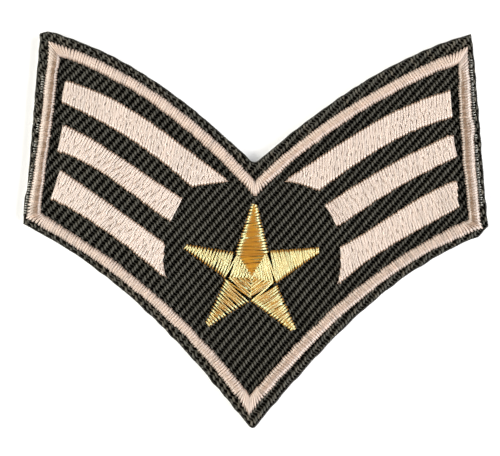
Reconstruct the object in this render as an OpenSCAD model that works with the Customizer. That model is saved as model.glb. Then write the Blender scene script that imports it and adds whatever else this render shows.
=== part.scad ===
// Embroidered chevron patch with an iron-on back, lying flat with its face up.
// X runs across the wings, Y from the point up to the notch, and Z out of the face.
// The origin is under the middle of the patch's outline, on the surface that it lies on.

/* [Patch] */
// Width across the patch, from one wing's lower corner to the other's
patch_w = 69.8; // [60:0.1:120]
// Thickness of the woven twill ground
ground_t = 1; // [0.6:0.05:2]
// Thickness of the adhesive film on the back
film_t = 0.3; // [0.1:0.05:0.6]

/* [Embroidery] */
// Width of the satin border on its straight runs
border_w = 1.5; // [1:0.05:1.7]
// Height of the border's crown above the ground
border_h = 0.7; // [0.3:0.05:1.5]
// Height of the bars' crown above the ground
bar_h = 0.55; // [0.3:0.05:1.5]
// Height of the star's crown above the ground
star_h = 0.7; // [0.3:0.05:1.5]
// Size of the star, as a share of its drawn size
star_size = 1; // [0.6:0.02:1.04]

/* [Fit] */
// Clearance between pieces that lie on or beside each other
gap = 0.03; // [0.01:0.01:0.1]

/* [Hidden] */

// The outlines are drawn in millimetres on a patch of the width below, and scaled to patch_w.
drawn_w = 69.82;
// Lengths into which each bowed edge is divided
edge_steps = 12;

// Columns of a corner row: its place, then how the edge that leaves it bows to the left of its
// run, at its middle, and how far the bow leans towards the edge's end
X = 0;
Y = 1;
BOW = 2;
LEAN = 3;
// A border corner has one more column, the width of the edge that leaves it, in border widths
BAND = 4;

// Cut edge of the cloth, clockwise from the left wing's top corner
CUT_EDGE = [
    [-32.30, 29.35, 0, 0],
    [-31.15, 29.80, 2.30, -0.24],
    [-0.65, 10.30, -0.12, 0],
    [0.30, 10.20, 2.05, 0.22],
    [32.45, 29.40, 0.05, -0.08],
    [34.97, 0.50, 0, 0],
    [33.55, -1.00, -2.75, 0.50],
    [-0.15, -29.70, 0.10, 0],
    [-0.90, -29.60, -2.60, -0.30],
    [-34.85, 0.85, 0, 0],
    [-34.65, 4.80, 0, 0],
    [-34.25, 5.90, 0, 0]
];

// Middle line of the border, clockwise from the left wing's top corner
BORDER = [
    [-30.15, 27.10, 2.50, -0.20, 0.97],
    [-0.12, 6.20, 1.95, -0.05, 0.93],
    [31.12, 26.20, -0.05, 0, 1.04],
    [33.05, 0.70, -2.75, 0.35, 0.95],
    [-0.82, -26.20, -2.37, 0, 0.92],
    [-33.20, 2.10, -0.12, 0, 1.10]
];

// Bars, from the top one down. The corners go clockwise round each one: the upper edge's start
// and end, then the lower edge's start and end.
LEFT_BARS = [
    [[-28.45, 22.35, 1.2, -0.45], [-3.95, 7.3, -0.05, 0], [-9.5, 6.5, -1, 0], [-29.05, 19.2, 0.05, 0]],
    [[-28.85, 15.75, 0.2, -0.2], [-10.9, 4.75, -0.1, 0], [-12.65, 1.25, -0.7, -0.3], [-29.6, 11.85, 0, 0]],
    [[-29.25, 8.95, 0.05, 0], [-13.65, -2, -0.4, -0.15], [-13.25, -7.4, -0.75, -0.1], [-30.6, 4.7, 0, 0]]
];
RIGHT_BARS = [
    [[4.3, 7.25, 1.15, 0.3], [29.15, 20.8, -0.05, 0], [29.6, 16.9, -1.15, 0.2], [9.55, 6, -0.25, -0.1]],
    [[10.4, 3.55, 0.55, 0], [29.75, 14.3, -0.15, 0], [30.35, 10.95, -0.55, 0], [12.4, 0.55, -0.1, -0.1]],
    [[12.7, -2.65, 0.35, 0.3], [30.3, 7.35, -0.1, 0], [30.4, 3.4, -0.65, -0.2], [12.35, -8.25, -0.35, 0]]
];

// Star arms, clockwise from the top one: the arm's tip, then the valley between it and the next
TIP_X = 0;
TIP_Y = 1;
VALLEY_X = 2;
VALLEY_Y = 3;
STAR_ARMS = [
    [-0.15, 3.80, 1.90, -3.25],
    [9.60, -3.05, 3.05, -8.00],
    [5.80, -15.05, -0.75, -10.55],
    [-7.20, -14.30, -4.35, -7.30],
    [-10.55, -2.55, -2.90, -3.45]
];
STAR_MIDDLE = [-0.50, -7.05];
// Lengths into which a star arm is divided
arm_steps = 9;
// An arm starts and ends at these shares of its length, where it is still wide enough to be solid
arm_start = 0.02;
arm_end = 0.98;
// Height at a star arm's thin ends, as a share of its crown
arm_end_h = 0.45;

// Columns of a cross-section: the share of its width, and the share of its height there
ACROSS = 0;
RISE = 1;
// Cross-section of a narrow row of satin stitches
SATIN = [[0, 0.35], [0.16, 0.82], [0.5, 1], [0.84, 0.82], [1, 0.35]];
// Cross-section of the bars, which are wider, with a flatter top
FLAT_SATIN = [[0, 0.5], [0.08, 0.88], [0.5, 1], [0.92, 0.88], [1, 0.5]];

// Heights of the stacked layers
ground_z = film_t + gap;
stitch_z = ground_z + ground_t + gap;

// How far the edge that leaves a corner stands off its chord at fraction t, and that distance's rate
function bow_at(corner, t) = 4 * t * (1 - t) * (corner[BOW] + 2 * (2 * t - 1) * corner[LEAN]);
function bow_rate(corner, t) =
    4 * (1 - 2 * t) * (corner[BOW] + 2 * (2 * t - 1) * corner[LEAN]) + 16 * t * (1 - t) * corner[LEAN];

// Unit vector to the left of a run
function to_left(run) = [-run[1], run[0]] / norm(run);

// Point at fraction t of the edge from corner a to corner b, and the edge's direction there
function place(corner) = [corner[X], corner[Y]];
function edge_point(a, b, t) =
    let (run = place(b) - place(a))
    place(a) + t * run + bow_at(a, t) * to_left(run);
function edge_run(a, b, t) =
    let (run = place(b) - place(a))
    run + bow_rate(a, t) * to_left(run);

// Straight edges need only their corner
function steps_of(corner) = corner[BOW] == 0 && corner[LEAN] == 0 ? 1 : edge_steps;

// Points round a closed row of corners
function outline(corners) = [
    for (i = [0 : len(corners) - 1])
        let (a = corners[i], b = corners[(i + 1) % len(corners)], steps = steps_of(a))
        for (k = [0 : steps - 1])
            edge_point(a, b, k / steps)
];

// The drawing is moved so that the cut edge's box is centred, and scaled to the patch's width.
cut_points = outline(CUT_EDGE);
drawn_xs = [for (p = cut_points) p[X]];
drawn_ys = [for (p = cut_points) p[Y]];
drawn_middle = [min(drawn_xs) + max(drawn_xs), min(drawn_ys) + max(drawn_ys)] / 2;
drawing_scale = patch_w / drawn_w;
function placed(p) = (p - drawn_middle) * drawing_scale;

// Vector that stands h1 off the first run's left side and h2 off the second's
function mitre(run1, h1, run2, h2) =
    let (n1 = to_left(run1), n2 = to_left(run2), d = n1[0] * n2[1] - n1[1] * n2[0])
    [h1 * n2[1] - h2 * n1[1], h2 * n1[0] - h1 * n2[0]] / d;

// Pairs of points across the border, outer and inner, all round it
function border_half(corner) = border_w * corner[BAND] / 2;
function border_offset(i, t) =
    let (n = len(BORDER), a = BORDER[i], b = BORDER[(i + 1) % n], last = BORDER[(i + n - 1) % n])
    t == 0
        ? mitre(edge_run(last, a, 1), border_half(last), edge_run(a, b, 0), border_half(a))
        : border_half(a) * to_left(edge_run(a, b, t));
border_pairs = [
    for (i = [0 : len(BORDER) - 1])
        let (a = BORDER[i], b = BORDER[(i + 1) % len(BORDER)])
        for (k = [0 : edge_steps - 1])
            let (middle = edge_point(a, b, k / edge_steps), off = border_offset(i, k / edge_steps))
            [placed(middle) + off, placed(middle) - off]
];

// Row of grid points across a pair of points, with a cross-section's heights
function pair_row(pair, section, height) = [
    for (s = section)
        let (p = pair[0] + s[ACROSS] * (pair[1] - pair[0]))
        [p[X], p[Y], stitch_z + s[RISE] * height]
];

// Point inside a bar, at fraction u along it and v across it, between its four bowed edges
function bar_point(bar, u, v) =
    let (upper = edge_point(bar[0], bar[1], u), lower = edge_point(bar[2], bar[3], 1 - u))
    let (start = edge_point(bar[3], bar[0], 1 - v), end = edge_point(bar[1], bar[2], v))
    let (flat_start = (1 - v) * place(bar[0]) + v * place(bar[3]))
    let (flat_end = (1 - v) * place(bar[1]) + v * place(bar[2]))
    (1 - v) * upper + v * lower + (1 - u) * (start - flat_start) + u * (end - flat_end);

function bar_grid(bar) = [
    for (i = [0 : edge_steps])
        [for (s = FLAT_SATIN)
            let (p = placed(bar_point(bar, i / edge_steps, s[ACROSS])))
            [p[X], p[Y], stitch_z + s[RISE] * bar_h]]
];

// Star arm: each of its sides runs from the tip to a valley, and from there to the star's middle
function star_place(p) = placed(STAR_MIDDLE + star_size * (p - STAR_MIDDLE));
function arm_tip(i) = star_place([STAR_ARMS[i][TIP_X], STAR_ARMS[i][TIP_Y]]);
function arm_valley(i) =
    let (row = STAR_ARMS[(i + len(STAR_ARMS)) % len(STAR_ARMS)])
    star_place([row[VALLEY_X], row[VALLEY_Y]]);

// Point on an arm's side at a fraction of the arm's length, its axis running from tip to middle
function side_point(tip, valley, middle, u) =
    let (axis = middle - tip, u_valley = ((valley - tip) * axis) / (axis * axis))
    u < u_valley
        ? tip + u / u_valley * (valley - tip)
        : valley + (u - u_valley) / (1 - u_valley) * (middle - valley);

// Share of the crown's height at a fraction of an arm's length, lowest at its thin ends
function arm_rise(u) = arm_end_h + (1 - arm_end_h) * sin(180 * u);

function arm_grid(i) =
    let (tip = arm_tip(i), middle = placed(STAR_MIDDLE))
    [for (k = [0 : arm_steps])
        let (u = arm_start + (arm_end - arm_start) * k / arm_steps)
        let (left = side_point(tip, arm_valley(i), middle, u))
        let (right = side_point(tip, arm_valley(i - 1), middle, u))
        let (width = norm(right - left), inset = min(gap, width / 4) * (right - left) / width)
        pair_row([left + inset, right - inset], SATIN, star_h * arm_rise(u))];

// Closed solid under a grid of points, with a flat underside at stitch_z. A wrapped grid joins its
// last row to its first.
module pad(grid, wrapped = false) {
    rows = len(grid);
    columns = len(grid[0]);
    tops = [for (row = grid) each row];
    bottoms = [for (p = tops) [p[X], p[Y], stitch_z]];
    below = len(tops);
    spans = wrapped ? rows : rows - 1;
    top_faces = [
        for (i = [0 : spans - 1], k = [0 : columns - 2])
            let (a = i * columns + k, b = ((i + 1) % rows) * columns + k)
            each [[a, b, b + 1], [a, b + 1, a + 1]]
    ];
    bottom_faces = [for (f = top_faces) [f[2] + below, f[1] + below, f[0] + below]];
    side_faces = [
        for (i = [0 : spans - 1], k = [0, columns - 1])
            let (a = i * columns + k, b = ((i + 1) % rows) * columns + k)
            k == 0 ? [a, a + below, b + below, b] : [b, b + below, a + below, a]
    ];
    end_faces = wrapped ? [] : [
        for (i = [0, rows - 1], k = [0 : columns - 2])
            let (a = i * columns + k)
            i == 0 ? [a + 1, a + 1 + below, a + below, a] : [a, a + below, a + 1 + below, a + 1]
    ];
    polyhedron(concat(tops, bottoms), concat(top_faces, bottom_faces, side_faces, end_faces));
}

module sheet(thickness) {
    linear_extrude(thickness) polygon([for (p = cut_points) placed(p)]);
}

module iron_on_film() {
    color("lightgray") sheet(film_t);
}

module twill_ground() {
    color("darkolivegreen") translate([0, 0, ground_z]) sheet(ground_t);
}

module border_satin() {
    color("peachpuff") pad([for (pair = border_pairs) pair_row(pair, SATIN, border_h)], wrapped = true);
}

module bar(corners) {
    color("linen") pad(bar_grid(corners));
}

module star_arm(i) {
    color("gold") pad(arm_grid(i));
}

iron_on_film();
twill_ground();
border_satin();
bar(LEFT_BARS[0]);  // bar_left_1
bar(LEFT_BARS[1]);  // bar_left_2
bar(LEFT_BARS[2]);  // bar_left_3
bar(RIGHT_BARS[0]);  // bar_right_1
bar(RIGHT_BARS[1]);  // bar_right_2
bar(RIGHT_BARS[2]);  // bar_right_3
star_arm(0);  // star_arm_top
star_arm(1);  // star_arm_right
star_arm(2);  // star_arm_lower_right
star_arm(3);  // star_arm_lower_left
star_arm(4);  // star_arm_left
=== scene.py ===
"""Iron-on chevron patch, thread by thread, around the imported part.

Lengths are in millimetres in the drawing's frame, +X right and +Y up the picture, until a mesh is made.
"""

import math

import bpy
import numpy as np
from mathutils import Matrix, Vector


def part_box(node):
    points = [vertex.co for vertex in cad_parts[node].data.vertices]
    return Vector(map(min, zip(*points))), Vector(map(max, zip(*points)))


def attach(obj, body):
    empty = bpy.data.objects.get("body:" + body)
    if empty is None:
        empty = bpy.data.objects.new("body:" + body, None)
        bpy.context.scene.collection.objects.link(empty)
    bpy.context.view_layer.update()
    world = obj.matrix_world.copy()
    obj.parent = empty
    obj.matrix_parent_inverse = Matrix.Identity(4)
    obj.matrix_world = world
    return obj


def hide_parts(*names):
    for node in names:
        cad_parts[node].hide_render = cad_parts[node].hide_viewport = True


MM = 0.001
UP = np.array([0.0, 0.0, 1.0])
FULL_TURN = 2 * np.pi
TINY = 1e-9

# Outlines
# Each row is a corner and the edge that leaves it, clockwise: x, y, how far the edge bows to its left,
# and how far that bow leans towards the edge's end.

CUT_EDGE = [
    [-32.30, 29.35, 0, 0],
    [-31.15, 29.80, 2.30, -0.24],
    [-0.65, 10.30, -0.12, 0],
    [0.30, 10.20, 2.05, 0.22],
    [32.45, 29.40, 0.05, -0.08],
    [34.97, 0.50, 0, 0],
    [33.55, -1.00, -2.75, 0.50],
    [-0.15, -29.70, 0.10, 0],
    [-0.90, -29.60, -2.60, -0.30],
    [-34.85, 0.85, 0, 0],
    [-34.65, 4.80, 0, 0],
    [-34.25, 5.90, 0, 0],
]
# The rows whose edges run along the cloth's top, right, bottom and left.
CUT_TOP, CUT_RIGHT, CUT_BOTTOM, CUT_LEFT = [1, 2, 3], [4], [5, 6, 7, 8], [9, 10, 11, 0]
BORDER_OUTSIDE = [
    [-30.95, 28.15, 2.60, -0.15],
    [-0.05, 7.20, 1.90, -0.05],
    [31.80, 27.30, -0.28, -0.10],
    [34.00, 0.30, -3.05, 0.40],
    [-0.95, -27.65, -2.75, 0.05],
    [-34.27, 1.75, -0.33, 0],
]
BORDER_INSIDE = [
    [-29.35, 26.05, 2.35, -0.25],
    [0.00, 5.05, 2.00, -0.05],
    [30.60, 25.10, -0.32, 0.05],
    [32.20, 1.40, -2.53, 0.30],
    [-0.80, -25.00, -2.11, 0],
    [-32.41, 2.50, 0, 0],
]
# The sides of the border in the same order: where the crest lies, as a share of the way in, how full the
# dome is, how high it is above the floor, and the threads' shade, which is painted shade: each side's
# threads are picked lighter or darker by how the light falls on that side, darkest on the left and right.
BORDER_SIDES = [
    dict(crest=0.46, fullness=3.8, crown=1.96, shade=0.93),
    dict(crest=0.50, fullness=2.8, crown=1.96, shade=1.00),
    dict(crest=0.60, fullness=3.3, crown=1.73, shade=0.14),
    dict(crest=0.50, fullness=3.7, crown=1.96, shade=0.56),
    dict(crest=0.50, fullness=3.6, crown=1.96, shade=0.74),
    dict(crest=0.71, fullness=2.3, crown=1.77, shade=0.20),
]
# Each bar has its upper edge, right end, lower edge and left end, then the thread's direction in degrees
# at its left end, middle and right end.
BARS = {
    "bar_left_1": (
        [[-28.45, 22.35, 1.3, -0.40], [-3.95, 7.3, -0.05, 0], [-9.5, 6.5, -1.0, 0], [-29.05, 19.2, 0.05, 0]],
        [81, 78, 77],
    ),
    "bar_left_2": (
        [[-28.75, 15.7, 0.3, -0.2], [-10.9, 4.65, -0.1, 0], [-12.65, 1.25, -0.7, -0.3], [-29.5, 11.85, 0, 0]],
        [70, 50, 61],
    ),
    "bar_left_3": (
        [[-29.25, 8.95, 0.05, 0], [-13.65, -2, -0.4, -0.15], [-13.25, -7.4, -0.75, -0.1], [-30.6, 4.7, 0, 0]],
        [68, 53, 69],
    ),
    "bar_right_1": (
        [[4.3, 7.25, 1.15, 0.3], [29.15, 20.8, -0.05, 0], [29.6, 16.9, -1.15, 0.2], [9.55, 6.0, -0.25, -0.1]],
        [89, 92, 92],
    ),
    "bar_right_2": (
        [[10.4, 3.55, 0.55, 0], [29.65, 14.3, -0.3, 0], [30.2, 10.95, -0.55, 0], [12.4, 0.55, -0.1, -0.1]],
        [114, 104, 104],
    ),
    "bar_right_3": (
        [[12.7, -2.65, 0.35, 0.3], [30.3, 7.35, -0.1, 0], [30.4, 3.4, -0.65, -0.2], [12.35, -8.25, -0.35, 0]],
        [104, 106, 112],
    ),
}
# The star's arms, clockwise from the top one: tip x, y, and the valley after it x, y.
STAR_ARMS = {
    "star_arm_top": [-0.15, 3.80, 1.90, -3.25],
    "star_arm_right": [9.60, -3.05, 3.05, -8.00],
    "star_arm_lower_right": [5.80, -15.05, -0.75, -10.55],
    "star_arm_lower_left": [-7.20, -14.30, -4.35, -7.30],
    "star_arm_left": [-10.55, -2.55, -2.90, -3.45],
}
STAR_MIDDLE = [-0.50, -7.05]
# Each arm's slot across its widest line, by its widths at the valleys before and after the arm, the threads'
# pitch and half width, and whether the arm is padded up to its tip.
STAR_STITCHES = {
    "star_arm_top": dict(slots=(0, 0), pitch=0.43, half_width=0.135, padded=True),
    "star_arm_right": dict(slots=(0.68, 0.40), pitch=0.38, half_width=0.14, padded=True),
    "star_arm_lower_right": dict(slots=(0.70, 0.45), pitch=0.44, half_width=0.135, padded=True),
    "star_arm_lower_left": dict(slots=(0.35, 0.42), pitch=0.48, half_width=0.11, padded=False),
    "star_arm_left": dict(slots=(0.60, 0.50), pitch=0.46, half_width=0.102, padded=False),
}
# The fine dark stitches beside the border: the side's row, the way out from it, and their heights.
EDGE_STITCHES = {
    "left edge": (5, -1, [(2.2, 9.6), (11.0, 13.6), (14.7, 16.7), (20.5, 23.0)]),
    "right edge": (2, 1, [(3.7, 12.9), (13.6, 14.5), (16.6, 25.5)]),
}
EDGE_POINTS = 40
GRID_CELLS = (150, 70)

# Heights above the floor

FILM_TOP = 0.30
CLOTH_LOW, CLOTH_TOP = 0.33, 0.58
CORD_MIDDLE = LIP_MIDDLE = 0.80
TWILL_TOP = 1.33
FOOT = 1.20
BAR_CROWN, STAR_CROWN = 1.83, 1.95
EDGE_CROWN, EDGE_FOOT = TWILL_TOP - 0.02, TWILL_TOP - 0.35
# The padding's foot, how far it is drawn in and lies under the solid's top, and the height of a solid's foot.
PAD_FOOT, PAD_INSET = 0.9, 0.16
BORDER_PAD_DROP, BAR_PAD_DROP = 0.25, 0.18
FOOT_BAND = 0.02

# Threads

THREAD_SIDES = 6
# The filaments' pattern is drawn out along the thread.
FIBRE_STRETCH = 0.3
# The length of one turn of the twist, and how far a thread's tint turns it, so that neighbours differ.
SATIN_TWIST, STAR_TWIST, EDGE_TWIST, YARN_TWIST, CORD_TWIST = 1.1, 0.5, 0.6, 0.7, 0.9
TINT_TURN = 60
# How much thinner a thread is at its ends, and the range of its width.
END_TAPER = 0.15
UNEVEN, STAR_UNEVEN = (0.9, 1.1), (0.8, 1.15)
# How far a thread lies to the side of the needle hole that it shares with the next one.
BESIDE = 0.045
# How far the stitches reach past their needle line, also along a bar's lower edge, then that reach's slow
# wander, over how many stitches, and its spread from one to the next.
OVERHANG, LOW_OVERHANG = 0.06, 0.12
WANDER, WANDER_STITCHES = 0.045, 6
OUTER_SPREAD, INNER_SPREAD, LOW_SPREAD, HIGH_SPREAD = 0.035, 0.045, 0.05, 0.035
# Sheets and the lip take the plain tint; the padding under the stitches takes darker tints, painted shade.
PLAIN_TINT, PAD_PAINTED_SHADE_TINT, STAR_PAD_PAINTED_SHADE_TINT = 0.5, 0.2, 0.3

# Border
# Every other thread lies over its neighbours: how far apart their heights are, and the half widths.

BORDER_PITCH = 0.40
OVER_LIFT = 0.06
OVER_WIDTH, UNDER_WIDTH = 0.135, 0.10
BORDER_THICK = 0.11
BORDER_LIFT = 0.03
SHADE_SPREAD = 0.28
# The length over which the threads fan round a corner, at the least or as a multiple of their lean.
LEAST_FAN, FAN_SHARE = 2.2, 3.2
# The right side is wider here: the height in the picture, half the length and the depth.
BULGE_AT, BULGE_REACH, BULGE = 15.5, 1.2, 0.30
BULGE_RIGHT_OF = 31.5

# Bars
# The thread's half sizes, its roll over the bar's edges, and its rings there and between them.

BAR_PITCH = 0.425
BAR_WIDTH, BAR_THICK = 0.125, 0.10
BAR_ROLL, MOST_ROLL = 0.30, 0.98
FLANK_RINGS, LEVEL_RINGS = 4, 9
BAR_SWAY, BAR_LIFT = 0.012, 0.025
PAST_ENDS = 4.0
SHORTEST_THREAD = 0.35
# The long threads are held down once: from which length, at which shares of the way up in turn, over which
# length, how deep, and how much thinner.
HELD_FROM = 2.2
HOLDS, HOLD_SPREAD = [0.34, 0.6, 0.45, 0.7], 0.04
HOLD_REACH, HOLD_DEPTH, HOLD_THIN = 0.25, (0.07, 0.22), 0.35

# Star

STAR_THICK = 0.105
BLUNT_TIP = 0.32
STAR_FULLNESS = (2.9, 5.0)
STAR_SWAY = STAR_LIFT = 0.05
# The threads' stations along an arm: the first, how far the last is past the star's middle and how far short
# of it a thread is cut, and their spread.
FIRST_STATION, PAST_MIDDLE, SHORT_OF_MIDDLE = 0.05, 0.10, 0.12
STATION_SPREAD = 0.04
# How far the threads reach past an arm's sides, and past its neighbours' sides within the star.
SIDE_REACH, INNER_REACH = 0.05, 0.16
# The length over which the slot closes, and from where a thread starts on top of the others.
SLOT_REACH, RAISED_FROM, RAISED_DROP = 0.6, 0.4, 0.15
# How far the crown falls where the threads are short, and the length that this goes with.
TIP_FALL, TIP_WIDTH = 0.22, 1.0
# The padding blocks' drop under the crown and foot, and how far they keep clear of the slot, tip and sides.
STAR_PAD_DROP, STAR_PAD_FOOT = 0.32, FOOT - 0.1
SLOT_CLEAR, TIP_CLEAR, MIDDLE_INSET, TIP_INSET = 0.05, 0.8, 0.15, 0.45

# Edge stitches

EDGE_PITCH, EDGE_SPREAD = 0.375, 0.03
EDGE_WIDTH, EDGE_THICK = 0.075, 0.06
EDGE_NEAR, EDGE_FAR = (0.03, 0.09), (0.58, 0.72)
EDGE_LEAN, EDGE_NEAR_LEAN, EDGE_FAR_LEAN = 0.03, 0.02, 0.03
EDGE_FULLNESS, EDGE_RINGS = 3.0, 7

# Twill
# One step of the weave goes down the thread from one float to the next, the other along the rib.

DOWN_STEP = [0.6354, -0.8738]
RIB_STEP = [-0.3340, -0.3697]
# The steps at the drawing's middle, as shares of a step down the thread and along the rib.
WEAVE_START = [0.767, 0.599]
# How many steps the cloth's own stretch has bowed the weave by, half a span to the side and half a span up.
HALF_SPAN = 30.0
SIDE_BOW, UP_BOW = [0.73, 1.2], [-0.93, 0.42]
BOW_ROUNDS = 8
# The ribs and yarns to each side of the middle, and half the size that they cover.
RIBS, YARNS = 45, 110
COVERED = [36, 31]
STEPS_A_RIB = 8
# A yarn, or a run of a yarn or cord, with fewer points is left out.
FEWEST_POINTS, FEWEST_IN_RUN, FEWEST_IN_CORD = 4, 3, 2
# How far a yarn swings to its side between the ribs, and how sharply it turns.
SWING, SWING_SHARP = 0.135, 0.96
# A higher number makes the floats longer.
FLOAT_LENGTH = 0.8
YARN_THIN, YARN_CREST, YARN_PRESSED = 0.07, 0.07, 0.02
YARN_DROP, YARN_DEPTH = 0.14, 0.48
# How far the yarns go in under the stitches, and how near the cut edge they and the cords end.
YARN_UNDER, YARN_END, CORD_END = 0.45, (0.10, 0.17), 0.22
# Pressed weave is shallower: by which share, how unevenly, and by how much at most.
SHALLOWER, SHALLOWER_SPREAD, SHALLOWEST = 0.48, 0.3, 0.85
# How far beside the stitches and the cut edge the weave is pressed flat.
PRESS_REACH, EDGE_PRESS_REACH = 0.8, 0.6
# The weave is pressed and browner within this distance of the cut edge.
RIM_WIDTH, RIM_PRESSED, RIM_BLEND, RIM_SHADE = 1.4, 0.9, 0.6, 0.3
YARN_SHADE = 0.7
# How loosely the yarns lie, in the plane and in height, and how much more where they are pressed, then how
# far past the cut edge they would lie steady, and how wide the change is.
LOOSE, LOOSE_PRESSED, LOOSE_LIFT, LOOSE_LIFT_PRESSED = 0.014, 0.05, 0.02, 0.04
STEADY_PAST, STEADY_WIDTH = 0.1, 0.6
JITTER, LIFT_JITTER, CORD_JITTER = 0.012, 0.015, 0.01
# The weave sinks under the stitches, at the cut edge and in a smoothed crease of the top right rim.
STITCH_SINK, STITCH_START, STITCH_FALL = 0.14, 0.35, 0.5
EDGE_SINK, CORD_SINK, EDGE_FALL = 0.12, 0.08, 0.35
CREASE, CREASE_SINK, CREASE_WIDTH = [[24.7, 24.8], [27.9, 27.7]], 0.16, 0.22
CORD_STEP, CORD_WIDTH, CORD_THICK = 2.0, 0.30, 0.24

# Cut edge

LIP_STEP = 0.3
LIP_INSET, LIP_RIPPLE, LIP_ROLL = 0.10, 0.05, 0.06
LIP_WIDTH, LIP_HEIGHT = 0.13, 0.34
RIPPLE_TURNS, RIPPLE_WAVES = (12, 110), 9

# The seeds of the random draws: each next bar and arm has the number after the last one's.

SEEDS = {
    "twill_yarns_left": 11, "twill_yarns_right": 12, "twill_cords": 13, "sealed_edge": 14,
    "border": 21, "bars": 31, "arms": 41, "left edge": 51, "right edge": 52,
}

# Looks
# Colours are linear. A thread has its shades by tint, the stain's colour, its roughness and index of
# refraction, the filaments' relief and fineness, how dull it is where it dives and how much painted shade
# darkens it there, and the colour of its glint.

LOOKS = {
    "border thread": dict(
        # The darkest shades carry the painted shade of the border's left and right sides.
        shades=[(0.0, (0.26, 0.154, 0.078)), (0.5, (0.46, 0.314, 0.222)), (1.0, (0.59, 0.410, 0.296))],
        stain=(0.90, 0.80, 0.72), rough=0.6, index=2.65, dulled_and_shaded=0.6,
    ),
    "bar thread": dict(
        shades=[(0.0, (0.42, 0.287, 0.198)), (0.5, (0.51, 0.353, 0.250)), (1.0, (0.60, 0.421, 0.306))],
        stain=(0.94, 0.86, 0.80), rough=0.6, index=2.95,
    ),
    "gold thread": dict(
        shades=[(0.0, (0.56, 0.195, 0.001)), (0.5, (0.69, 0.265, 0.002)), (1.0, (0.82, 0.35, 0.004))],
        stain=(0.95, 0.85, 0.7), rough=0.40, index=2.95, bump=0.4, filament=3.0, dulled_and_shaded=0.4,
        glint=(0.68, 1.0, 0.68),
    ),
    "twill yarn": dict(
        shades=[(0.0, (0.052, 0.052, 0.042)), (0.7, (0.076, 0.076, 0.062)), (1.0, (0.118, 0.107, 0.082))],
        stain=(0.75, 0.75, 0.7), rough=0.6, index=1.35,
    ),
    "edge thread": dict(
        shades=[(0.0, (0.17, 0.175, 0.155)), (1.0, (0.35, 0.36, 0.325))],
        stain=(0.8, 0.8, 0.8), rough=0.5, index=1.9,
    ),
    "melted edge": dict(
        shades=[(0.0, (0.020, 0.019, 0.015)), (1.0, (0.030, 0.029, 0.023))],
        stain=(0.8, 0.8, 0.8), rough=0.55, index=1.4,
    ),
    # The cloth and cords under the face yarns: their own dark olive, darkened well below the yarns as painted
    # shade in the weave's holes.
    "twill depth and painted shade": dict(
        shades=[(0.0, (0.020, 0.017, 0.012)), (1.0, (0.030, 0.026, 0.019))],
        stain=(0.8, 0.8, 0.8), rough=0.8, index=1.1,
    ),
    "adhesive film": dict(
        shades=[(0.0, (0.55, 0.56, 0.52)), (1.0, (0.66, 0.67, 0.62))],
        stain=(0.7, 0.7, 0.62), rough=0.3, index=1.45,
    ),
}
# How wide the sheen spreads across a thread.
ANISOTROPY = 0.92
STAIN_SCALE, STAIN_DETAIL, STAIN_SHARE = 260, 2.0, 0.35
FILAMENT_DETAIL = 4.0
# Painted shade in the gaps between filaments, where their relief is low, and the share of it laid on.
FILAMENT_GAP_SHADE, GAP_SHADE_SHARE = [(0.3, (0.80, 0.78, 0.76)), (0.65, (1, 1, 1))], 0.8
PLY_SHARE = 0.6
RELIEF_DEPTH = 0.03
# The painted shade multiplied into a thread's colour where it dives into the cloth.
DIVE_PAINTED_SHADE = (0.35, 0.32, 0.30)
# The numbers of a colour mix node's sockets.
MIX_INPUTS, MIX_RESULT = (0, 6, 7), 2
WHITE = (1.0, 1.0, 1.0)

FLOOR_HALF = 2.0
FLOOR_LOOK = {
    "Base Color": (0.92, 0.94, 0.96), "Roughness": 0.9,
    "Emission Color": (0.84, 0.90, 1.0), "Emission Strength": 0.10,
}

# Lights
# Each softbox has its direction in degrees round the patch, its watts and its colour.

WARM, COOL = (1.0, 0.95, 0.86), (1.0, 0.97, 0.955)
SOFTBOXES = {
    "right high": (28, 2.4, COOL),
    "right": (358, 1.95, COOL),
    "right low": (325, 4.0, COOL),
    "left high": (146, 2.9, WARM),
    "left": (180, 2.4, WARM),
    "left low": (207, 2.45, WARM),
}
# Metres, and degrees above the floor.
LIGHT_DISTANCE, LIGHT_SIZE, LIGHT_RISE = 0.63, 0.36, 25
WORLD_COLOUR, WORLD_STRENGTH = (0.95, 0.96, 1.0), 0.06

# Camera

PHOTO_PIXELS_WIDE = 500
PIXEL = 0.15
VIEW_CENTRE = [-0.78, 0.246]
LENS, SENSOR = 200.0, 36.0
CLIP = (0.01, 10.0)


# Plane geometry


def bowed(row, end, count=EDGE_POINTS):
    """Points along a bowed edge from a row's corner up to the next corner, which is left out."""
    start, end = np.array(row[:2]), np.array(end[:2])
    bow, lean = row[2:]
    t = (np.arange(count) / count)[:, None]
    run = end - start
    left = np.array([-run[1], run[0]]) / np.hypot(*run)
    return start + t * run + 4 * t * (1 - t) * (bow + 2 * (2 * t - 1) * lean) * left


def edges_of(table):
    """The edges of a closed table of corners, each with both its end points."""
    after = table[1:] + table[:1]
    return [np.vstack([bowed(row, end), [end[:2]]]) for row, end in zip(table, after)]


def outline_of(table):
    """The closed outline of a table of corners, with each corner in it once."""
    return np.vstack([edge[:-1] for edge in edges_of(table)])


def inside_by(points, outline):
    """How far each point is inside a closed outline; negative outside it."""
    nearest = np.full(len(points), np.inf)
    inside = np.zeros(len(points), bool)
    x, y = points.T
    for (ax, ay), (bx, by) in zip(outline, np.roll(outline, -1, axis=0)):
        dx, dy = bx - ax, by - ay
        t = np.clip(((x - ax) * dx + (y - ay) * dy) / (dx * dx + dy * dy), 0, 1)
        nearest = np.minimum(nearest, np.hypot(x - ax - t * dx, y - ay - t * dy))
        if dy:
            crosses = (ay > y) != (by > y)
            inside ^= crosses & (x < ax + (y - ay) * dx / dy)
    return np.where(inside, nearest, -nearest)


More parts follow.
